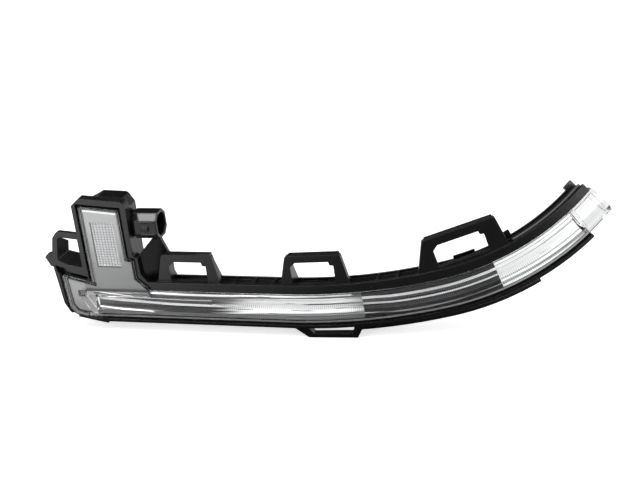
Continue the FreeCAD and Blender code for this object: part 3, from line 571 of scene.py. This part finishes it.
# %% The end plate and the whole trim
def flat_prism(outline, front, back):
    """Points, marks and faces of an outline (x, z) in mm between two depths."""
    count = len(outline)
    points = [placed(x, y, z) for y in (front, back) for x, z in outline]
    faces = [tuple(range(count)), tuple(range(2 * count - 1, count - 1, -1))]
    for j in range(count):
        k = (j + 1) % count
        faces.append((j, j + count, k + count, k))
    return points, outline * 2, faces


def joined(*parts):
    points, marks, faces = [], [], []
    for more_points, more_marks, more_faces in parts:
        shift = len(points)
        points += more_points
        marks += more_marks
        faces += [tuple(v + shift for v in face) for face in more_faces]
    return points, marks, faces


def build(name, points, marks, faces, sharp=25):
    """Piece of the lamp from points in metres; its marks become the UV layer strip."""
    mesh = bpy.data.meshes.new(name)
    mesh.from_pydata([tuple(p) for p in points], [], faces)
    if marks:
        layer = mesh.uv_layers.new(name="strip")
        for loop in mesh.loops:
            layer.data[loop.index].uv = marks[loop.vertex_index]
    mesh.shade_smooth()
    mesh.set_sharp_from_angle(angle=math.radians(sharp))
    piece = bpy.data.objects.new(name, mesh)
    bpy.context.scene.collection.objects.link(piece)
    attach(piece, "root")
    print(name, "has", len(faces), "faces")
    return piece


END_PLATE = [
    (-105.0, 2.6), (-105.0, 7.8), (-117.9, 11.0), (-117.1, -2.0), (-115.4, -4.3), (-111.8, -5.2),
    (-105.6, -5.4), (-105.9, -3.6), (-105.9, 2.6),
]
PLATE_FRONT, PLATE_BACK = 2.75, 3.7
trim = build("trim_channel", *joined(channel, flat_prism(END_PLATE, PLATE_FRONT, PLATE_BACK)))
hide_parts("reflector_trim")

# %% [markdown]
# The holder of the light guide shows as one small black peg in the plate's corner.
# The front of the solid holder lies 0.3 mm further back. A new holder could take
# its place, but a thin flat piece in front of it shows the peg just as well.

# %% Peg of the guide holder
PEG = [(-114.3, 5.2), (-114.2, 2.2), (-110.9, 2.0), (-110.9, 5.0)]
PEG_FRONT, PEG_BACK = 2.3, 2.72
peg = build("holder_peg", *flat_prism(PEG, PEG_FRONT, PEG_BACK))
peg.data.materials.append(holder_black_and_groove_shade)

# %% [markdown]
# The optic in the window is a grid of small pillows that spread the light of the
# diodes. A bump could fake them, but they are large enough to turn real light, so
# they are modelled: a fine sheet swells between straight valleys, and a flat back
# closes it. The product of two sines gives every cell the same rounded crest.

# %% Pillow optic
COLUMNS, ROWS, CELL = 8, 18, 6
OPTIC_LEFT, OPTIC_RIGHT, OPTIC_LOW, OPTIC_HIGH = -101.85, -90.55, 17.4, 38.9
VALLEY, CREST, OPTIC_BACK = 2.85, 2.5, 3.85
FLATTEN = 0.5
across, upward = COLUMNS * CELL, ROWS * CELL


def pillow_point(i, j):
    swell = abs(math.sin(math.pi * i / CELL) * math.sin(math.pi * j / CELL)) ** FLATTEN
    return placed(OPTIC_LEFT + (OPTIC_RIGHT - OPTIC_LEFT) * i / across, VALLEY - (VALLEY - CREST) * swell,
                  OPTIC_LOW + (OPTIC_HIGH - OPTIC_LOW) * j / upward)


row = across + 1
points = [pillow_point(i, j) for j in range(upward + 1) for i in range(row)]
faces = [(j * row + i, j * row + i + 1, (j + 1) * row + i + 1, (j + 1) * row + i)
         for j in range(upward) for i in range(across)]
rim = ([i for i in range(row)]
       + [j * row + across for j in range(1, upward + 1)]
       + [upward * row + i for i in range(across - 1, -1, -1)]
       + [j * row for j in range(upward - 1, 0, -1)])
first_behind = len(points)
points += [Vector((points[v].x, placed(0, OPTIC_BACK, 0).y, points[v].z)) for v in rim]
for n, v in enumerate(rim):
    m = (n + 1) % len(rim)
    faces.append((v, first_behind + n, first_behind + m, rim[m]))
faces.append(tuple(first_behind + n for n in range(len(rim) - 1, -1, -1)))
optic = build("pillow_grid", points, None, faces, sharp=60)
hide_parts("pillow_lens")

# %% [markdown]
# The optic's plastic is slightly milky, and the valleys between the pillows get painted shade: a darker grey.
# Depth decides the colour here: it is the one thing that tells a valley from a crest everywhere, so no
# picture of the grid is needed.

# %% Milky plastic of the optic, with painted shade in its valleys
SHADE_FROM = 2.68
milky, tree, shader = finish("optic_milky", (0.62, 0.62, 0.62), Roughness=0.22, IOR=ACRYLIC_IOR,
                             Transmission_Weight=0.1)
# painted shade: the valleys are a darker grey than the crests
valley = ramp(tree, place_in(tree, "Object")["Y"], placed(0, SHADE_FROM, 0).y, placed(0, VALLEY, 0).y)
milky_valley_shade = blend_colour(tree, valley, (0.53, 0.53, 0.535), (0.19, 0.19, 0.195))
tree.links.new(milky_valley_shade, shader.inputs["Base Color"])
optic.data.materials.append(milky)
print("grey between", SHADE_FROM, "and", VALLEY, "mm of depth")

# %% [markdown]
# Behind the lens the plastic is metallised: a thin layer of aluminium under
# vacuum. Its mirror image of a studio is a set of lines that run along the strip,
# white next to nearly black. A real studio could be built for it, but the lines
# would move with every small change of a section. The finish draws them instead,
# over the steps of the channel, by the length and height that the mesh remembers.

# %% Bright metal of the strip, and where a point lies on it
strip_bright, metal, strip_shader = finish("strip_bright", (0.9, 0.9, 0.9), Metallic=0.5, Roughness=0.35,
                                           Emission_Strength=0.4)
strip_uv = metal.nodes.new("ShaderNodeUVMap")
strip_uv.uv_map = "strip"
on_strip = split_xyz(metal, strip_uv.outputs[0])
length, height = on_strip["X"], on_strip["Y"]
print("marks:", strip_uv.uv_map)

# %% [markdown]
# The lines don't keep one height: they drift up and down as the strip turns. A curve node is a good tool for
# such a course, given point by point. It works between 0 and 1 both ways, so length and rise are scaled into
# it and back.

# %% The drift of the lines
# how far the lines stand above their middle height, in mm, at lengths in mm
DRIFT = [(-112, 1.7), (-95, 0.4), (-80, -0.2), (-65, -0.8), (-50, -0.9), (-28, -0.3), (6, 0.2),
         (20, -0.1), (39, -0.7), (77, -0.3), (100, -0.4), (117, -0.6)]
FIRST, LAST = DRIFT[0][0], DRIFT[-1][0]
LOWEST, SPAN = -2.0, 4.0
drift = metal.nodes.new("ShaderNodeFloatCurve")
curve = drift.mapping.curves[0]
spots = [((at - FIRST) / (LAST - FIRST), (rise - LOWEST) / SPAN) for at, rise in DRIFT]
curve.points[0].location = spots[0]
curve.points[-1].location = spots[-1]
for spot in spots[1:-1]:
    curve.points.new(*spot)
drift.mapping.update()
along = math_node(metal, "DIVIDE", math_node(metal, "SUBTRACT", length, FIRST), LAST - FIRST)
metal.links.new(along, drift.inputs["Value"])
line_height = math_node(metal, "SUBTRACT", height,
                        math_node(metal, "MULTIPLY_ADD", drift.outputs[0], SPAN, LOWEST))
print("points on the curve:", len(curve.points))

# %% [markdown]
# Each line is a mask: 1 near its height and 0 elsewhere. A second mask keeps it to
# one stretch of the strip. Where stretches meet, the border is ragged, as in a
# mirror image: a noise that is drawn out along the strip moves it to and fro.

# %% Masks for lines and stretches
def drawn_out(along_scale, height_scale, scale, detail):
    """Noise on the strip, stretched along it."""
    combine = metal.nodes.new("ShaderNodeCombineXYZ")
    metal.links.new(product(metal, length, along_scale), combine.inputs[0])
    metal.links.new(product(metal, height, height_scale), combine.inputs[1])
    return noise(metal, scale, detail, combine.outputs[0])


def line(middle, half, soft=0.15):
    """Mask of a line at this height, with its half width and soft border in mm."""
    off = math_node(metal, "ABSOLUTE", math_node(metal, "SUBTRACT", line_height, middle))
    return ramp(metal, off, half, half + soft, 1.0, 0.0)


def stretch(start, end, soft=1.0, lengths=length):
    """Mask of a stretch of the strip, with its ends and soft border in mm."""
    return product(metal, ramp(metal, lengths, start - soft, start + soft),
                   ramp(metal, lengths, end - soft, end + soft, 1.0, 0.0))


def paint(level, value, *masks):
    """The value where all masks are 1, over the level painted so far."""
    return mixed(metal, product(metal, *masks), level, value)


RAGGED_BY = 26.0
streak = drawn_out(0.035, 1.3, 1.6, 3.0)
ragged = math_node(metal, "ADD", length, product(metal, math_node(metal, "SUBTRACT", streak, 0.5), RAGGED_BY))
TURN_START, DARK_START, DARK_END = -40, 18, 77.5
inner = stretch(-130, TURN_START, 12, ragged)
turning = stretch(TURN_START, DARK_START, 12, ragged)
dark_run = stretch(DARK_START, DARK_END, 0.3)
white_end = stretch(DARK_END, 140, 0.3)
print("stretches end at", TURN_START, DARK_START, DARK_END, "mm")

# %% [markdown]
# Now the lines are laid on like coats of paint: a ground level for a stretch, then
# each line over it, from 0 for black to 1 for white. The order matters, as with
# paint. The inner run is grey with a few lines, the turn is mostly white, then
# comes a dark run with three bright lines, and the outer end is white again.

# %% The lines of the strip
level = 0.5
level = paint(level, 0.17, stretch(-130, DARK_START, 0.3))
level = paint(level, 0.14, inner, line(3.1, 0.8))
level = paint(level, 0.45, inner, line(1.75, 0.1))
level = paint(level, 0.0, inner, line(0.75, 0.65))
level = paint(level, 0.02, inner, line(-2.7, 1.2))
level = paint(level, 1.0, inner, line(-0.8, 0.45, 0.2))
level = paint(level, 0.95, inner, line(-4.6, 0.2), stretch(-112, -79))
level = paint(level, 0.93, turning, line(-0.4, 3.2, 0.5), stretch(-60, DARK_START, 0.4))
level = paint(level, 0.12, turning, line(3.2, 0.2), stretch(-5, DARK_START))
level = paint(level, 0.04, turning, line(-0.25, 0.2), stretch(-8, DARK_START, 3))
level = paint(level, 0.95, line(4.5, 0.5), stretch(-80, 14))
level = paint(level, 0.012, dark_run)
level = paint(level, 0.98, dark_run, line(2.15, 0.75, 0.3))
level = paint(level, 0.02, dark_run, line(0.7, 0.5))
level = paint(level, 0.9, dark_run, line(-0.65, 0.25, 0.2))
level = paint(level, 0.07, dark_run, line(-2.2, 0.7))
level = paint(level, 0.35, dark_run, line(-4.4, 0.1))
level = paint(level, 0.98, white_end)
level = paint(level, 0.25, white_end, line(3.9, 0.1))
level = paint(level, 0.16, white_end, line(1.5, 0.12))
level = paint(level, 0.45, white_end, line(-2.9, 0.12))
level = paint(level, 0.35, white_end, line(-4.4, 0.3, 0.3))
level = paint(level, 0.15, stretch(-45, DARK_START, 8), ramp(metal, streak, 0.60, 0.66))
level = paint(level, 0.30, white_end, ramp(metal, streak, 0.66, 0.70))
print("nodes that paint the strip:", len(metal.nodes))

# %% [markdown]
# Two fine patterns go over the lines: hair-thin streaks along the metal, and a comb
# across its middle that stands for the fine teeth of a light guide. As meshes they
# would cost many thousand faces for a pitch of less than a millimetre. The plate
# at the inner end is plain grey. Light that goes to and fro between guide and
# channel lifts only the white lines, so the emission grows with the cube of them.

# %% Streaks, comb and plate
TOOTH_PITCH, TOOTH_CONTRAST, COMB_MIDDLE, COMB_HALF = 0.9, 0.22, -2.6, 2.6
PLATE_LEVEL, PLATE_ENDS = 0.34, (-106.0, -105.86)
BLACK, WHITE = (0.0, 0.0, 0.0), (1.0, 1.0, 1.0)
hair = ramp(metal, drawn_out(0.02, 5.0, 1.5, 2.0), 0.35, 0.65, 0.72, 1.12)
teeth = math_node(metal, "SINE", product(metal, length, 2 * math.pi / TOOTH_PITCH))
comb_zone = product(metal, line(COMB_MIDDLE, COMB_HALF, 0.3), TOOTH_CONTRAST)
comb = math_node(metal, "ADD", product(metal, teeth, comb_zone), 1.0)
level = product(metal, level, hair, comb)
level = mixed(metal, ramp(metal, length, *PLATE_ENDS, 1.0, 0.0), level, PLATE_LEVEL)
strong = math_node(metal, "POWER", math_node(metal, "MINIMUM", level, 1.0), 3.0)
shade = blend_colour(metal, math_node(metal, "MINIMUM", level, 0.98), BLACK, WHITE)
metal.links.new(shade, strip_shader.inputs["Base Color"])
metal.links.new(blend_colour(metal, strong, BLACK, WHITE), strip_shader.inputs["Emission Color"])
trim.data.materials.append(strip_bright)
print(strip_bright.name, "on", trim.name)

# %% [markdown]
# Round the tall window lies a tray of metallised plastic. Four flat pieces leave
# the seat of the optic open between them, which is simpler than a hole that is cut.
# One of the four is the foot, a thinner piece that runs down to the strip.

# %% Tray of the window
SEAT_GAP = 0.1
SEAT_LEFT, SEAT_RIGHT = OPTIC_LEFT - SEAT_GAP, OPTIC_RIGHT + SEAT_GAP
SEAT_LOW, SEAT_HIGH = OPTIC_LOW - SEAT_GAP, OPTIC_HIGH + SEAT_GAP
TRAY_LEFT, TRAY_RIGHT, TRAY_FRONT, TRAY_BACK, FOOT_BACK = -104.2, -88.4, 2.2, 4.2, 2.55
FOOT = [(-110.0, 4.9), (-79.2, 2.0), (-79.2, 5.8), (-85.2, 11.7), (-85.2, 20.0), (TRAY_RIGHT, 20.4),
        (TRAY_RIGHT, SEAT_LOW), (TRAY_LEFT, SEAT_LOW), (TRAY_LEFT, 7.6), (-110.0, 9.0)]


def upright_bar(left, right):
    outline = [(left, SEAT_LOW), (right, SEAT_LOW), (right, SEAT_HIGH), (left, SEAT_HIGH)]
    return flat_prism(outline, TRAY_FRONT, TRAY_BACK)


tray = build("window_tray", *joined(
    upright_bar(TRAY_LEFT, SEAT_LEFT),
    upright_bar(SEAT_RIGHT, TRAY_RIGHT),
    flat_prism([(TRAY_LEFT, SEAT_HIGH), (TRAY_RIGHT, SEAT_HIGH), (TRAY_RIGHT, 43.6), (TRAY_LEFT, 45.2)],
               TRAY_FRONT, TRAY_BACK),
    flat_prism(FOOT, TRAY_FRONT, FOOT_BACK)))
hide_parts("window_reflector")

# %% [markdown]
# The tray's metal is satin: an even grey that is paler at the top and darker where
# the crown of the strip shades it. Two soft steps over the height give both. The
# mix isn't clamped, so that the shade at the foot may go below the darker colour.

# %% Satin metal of the tray
window_satin, tree, shader = finish("window_satin", (0.3, 0.3, 0.3), Metallic=1.0, Roughness=0.4)
grain = use_group(tree, grain_group, Scale=3000.0, Roughness=0.4, Spread=0.08)
tree.links.new(grain.outputs["Roughness"], shader.inputs["Roughness"])
window_height = place_in(tree, "Object")["Z"]
paler = ramp(tree, window_height, placed(0, 0, 14).z, placed(0, 0, 38).z)
shaded = ramp(tree, window_height, placed(0, 0, 5.2).z, placed(0, 0, 7.5).z, -0.55, 0.0)
satin = blend_colour(tree, math_node(tree, "ADD", paler, shaded), (0.27, 0.27, 0.272), (0.45, 0.45, 0.45),
                     clamp=False)
tree.links.new(satin, shader.inputs["Base Color"])
tray.data.materials.append(window_satin)
print(window_satin.name, "on", tray.name)

# %% [markdown]
# Bright metal pieces paint highlights round the tray: a lip along its upper edge, and a bright edge at its
# foot, over a black strip of painted shade where a groove lies. Two slanting ridges stand on the plate at the
# inner end, bright with painted highlight. All of them are thin flat pieces over the metal, since a drawn
# line would have no thickness to catch light.

# %% Painted highlights and shade: lip, edge, groove and ridges
# painted highlight: bright metal for the lines of light along the tray and on the ridges
painted_highlight_metal = moulded("painted_highlight_metal", (0.88, 0.88, 0.885), (0.95, 0.95, 0.95), roughness=0.3,
                     grain_scale=3000.0, grain_depth=0.01, edge_radius=0.1, Metallic=0.8)
LIP = [(-104.1, 44.3), (-88.5, 42.8), (-88.5, 43.7), (-104.1, 45.2)]
# painted highlight: a bright lip along the window's upper edge
lip_highlight = build("window_lip_highlight", *flat_prism(LIP, 1.9, 2.3))
lip_highlight.data.materials.append(painted_highlight_metal)

EDGE_PATH = [(-106.8, 4.8), (-93.0, 3.3), (-80.0, 2.3), (-65.0, 1.9), (-50.0, 1.9)]
EDGE_HEIGHT = 0.32
GROOVE_DROP, GROOVE_HEIGHT, GROOVE_WIDENING = 0.6, 0.7, 0.012


def ribbon(path, height, drop=0.0, widening=0.0):
    """Outline of a ribbon that hangs below the path by the drop and widens along it."""
    upper = [(x, z - drop) for x, z in path]
    lower = [(x, z - drop - height - widening * (x - path[0][0])) for x, z in path]
    return upper + lower[::-1]


# painted highlight: a bright line along the foot of the tray
edge_highlight = build("tray_edge_highlight", *flat_prism(ribbon(EDGE_PATH, EDGE_HEIGHT), 2.1, 2.3))
edge_highlight.data.materials.append(painted_highlight_metal)
# painted shade: a black strip, in the holder's black, where a groove lies in shade
groove_shade = build("tray_groove_shade", *flat_prism(ribbon(EDGE_PATH, GROOVE_HEIGHT, GROOVE_DROP, GROOVE_WIDENING),
                                          2.2, 2.4))
groove_shade.data.materials.append(holder_black_and_groove_shade)

SLANT_RIDGE = [(-113.1, 2.0), (-113.7, 2.0), (-108.9, -4.9), (-108.3, -4.8)]
SECOND_RIDGE = [(-109.7, 2.0), (-110.2, 2.0), (-106.4, -2.8), (-105.95, -2.7)]
# painted highlight: the ridges are made bright where they catch light
ridges = build("plate_ridges", *joined(flat_prism(SLANT_RIDGE, 2.4, 2.8), flat_prism(SECOND_RIDGE, 2.4, 2.8)))
ridges.data.materials.append(painted_highlight_metal)

# %% [markdown]
# The lens is welded to the carrier along its edge. Seen through the clear edge
# the weld is a pale line that frames the whole lens. It is too thin to need a real
# bead: a flat strip under the lens follows the path, and bands between two lines
# of corners go round the window and the inner end.

# %% Weld line
def swept_strip(front, back, low, high, start):
    """A flat strip between two depths and two heights, carried along the path."""
    return swept_piece([(front, high), (front, low), (back, low), (back, high)],
                       steps(start, STRIP_END, STRIP_PITCH))


def band(one_side, other_side, front, back):
    """Flat pieces between two lines that have the same number of corners."""
    quads = zip(one_side, other_side, other_side[1:], one_side[1:])
    return joined(*[flat_prism(list(quad), front, back) for quad in quads])


STRIP_END, STRIP_PITCH = 118.5, 1.5
WELD_FRONT, WELD_BACK, WELD_NEAR, WELD_FAR = 3.9, 3.98, 5.7, 6.65
WINDOW_OUTSIDE = [(-105.3, 9.5), (-105.3, 46.5), (-87.3, 44.8), (-87.3, 21.7)]
WINDOW_INSIDE = [(-104.4, 9.2), (-104.4, 45.4), (-88.2, 43.9), (-88.2, 20.7)]
END_INSIDE = [(-118.8, 12.8), (-117.6, -2.2), (-115.8, -4.7), (-111.5, -WELD_NEAR)]
END_OUTSIDE = [(-119.7, 12.9), (-118.6, -2.6), (-116.3, -5.5), (-111.5, -6.6)]
weld = build("lens_weld", *joined(
    swept_strip(WELD_FRONT, WELD_BACK, WELD_NEAR, WELD_FAR, -77.5),
    swept_strip(WELD_FRONT, WELD_BACK, -WELD_FAR, -WELD_NEAR, -111.0),
    band(WINDOW_OUTSIDE, WINDOW_INSIDE, WELD_FRONT, WELD_BACK),
    band(END_INSIDE, END_OUTSIDE, WELD_FRONT, WELD_BACK)))
weld_line = moulded("weld_line", (0.42, 0.42, 0.42), (0.5, 0.5, 0.5), roughness=0.45,
                    grain_scale=3000.0, grain_depth=0.01)
weld.data.materials.append(weld_line)

# %% [markdown]
# Round the lens the carrier has a narrow stepped recess. Its floor is painted shade: black strips, coarse and
# nearly without gloss, that make it look deep black next to the rim. The carrier has one finish, so the floor
# is laid in as strips with their own.

# %% Painted shade on the floor of the recess
STEP_FRONT, STEP_BACK, STEP_NEAR, STEP_FAR = 1.44, 1.5, 6.85, 8.15
RECESS_OUTSIDE = [(-106.85, 11.3), (-106.85, 48.0), (-85.75, 46.3), (-85.75, 23.0)]
RECESS_INSIDE = [(-105.55, 9.8), (-105.55, 46.8), (-87.05, 45.05), (-87.05, 21.8)]
shaded_recess = build("recess_floor_shade", *joined(
    swept_strip(STEP_FRONT, STEP_BACK, -STEP_FAR, -STEP_NEAR, -101.0),
    band(RECESS_OUTSIDE, RECESS_INSIDE, STEP_FRONT, STEP_BACK)))
# painted shade: near black, rough and with almost no gloss
recess_shade_black = moulded("recess_shade_black", (0.004, 0.004, 0.004), (0.004, 0.004, 0.004), roughness=0.9,
                       grain_scale=5200.0, grain_depth=0.02, Specular_IOR_Level=0.05)
shaded_recess.data.materials.append(recess_shade_black)

# %% [markdown]
# The pieces inside and behind are small, and each has its usual finish: green
# boards, black and tan components, tinned pins, zinc-plated screws, a white vent.
# They could share a grey, as hardly any of them shows, but a part in a library is
# also looked at from behind and taken apart. The function for mouldings suits all.

# %% Inner parts
board_green = moulded("board_green", (0.02, 0.12, 0.05), (0.25, 0.22, 0.12), roughness=0.35,
                      grain_scale=1800.0, grain_depth=0.01)
wear(board_green, "main_board", "guide_board")
diode_amber = moulded("diode_amber", (0.85, 0.66, 0.22), (0.9, 0.85, 0.7), roughness=0.25,
                      grain_scale=2500.0, grain_depth=0.004)
wear(diode_amber, "window_led_1", "window_led_2", "guide_led")
package_black = moulded("package_black", (0.02, 0.02, 0.022), (0.05, 0.05, 0.05), roughness=0.55,
                        grain_scale=9000.0, grain_depth=0.01, edge_radius=0.1)
wear(package_black, "driver_chip", "resistor_1", "resistor_2")
ceramic_tan = moulded("ceramic_tan", (0.42, 0.29, 0.16), (0.55, 0.55, 0.55), roughness=0.5,
                      grain_scale=4000.0, grain_depth=0.01, edge_radius=0.1)
wear(ceramic_tan, "board_capacitor")
screw_zinc = moulded("screw_zinc", (0.55, 0.56, 0.57), (0.7, 0.7, 0.7), roughness=0.3,
                     grain_scale=1500.0, grain_depth=0.01, edge_radius=0.1, Metallic=1.0)
wear(screw_zinc, "board_screws")
tinned_pin = moulded("tinned_pin", (0.72, 0.72, 0.70), (0.8, 0.8, 0.8), roughness=0.22,
                     grain_scale=2500.0, grain_depth=0.004, edge_radius=0.06, Metallic=1.0)
wear(tinned_pin, "terminal_pin_1", "terminal_pin_2", "terminal_pin_3")
woven_vent = moulded("woven_vent", (0.75, 0.75, 0.73), (0.8, 0.8, 0.8), roughness=0.8,
                     grain_scale=6000.0, grain_depth=0.04)
wear(woven_vent, "vent_membrane")
gasket_foam = moulded("gasket_foam", (0.025, 0.025, 0.025), (0.05, 0.05, 0.05), roughness=0.85,
                      grain_scale=3000.0, grain_depth=0.04)
wear(gasket_foam, "cover_gasket")

# %% [markdown]
# The picture is shown with the plain Standard view, so that a colour appears as it is written.

# %% Finish
bpy.context.scene.view_settings.view_transform = "Standard"
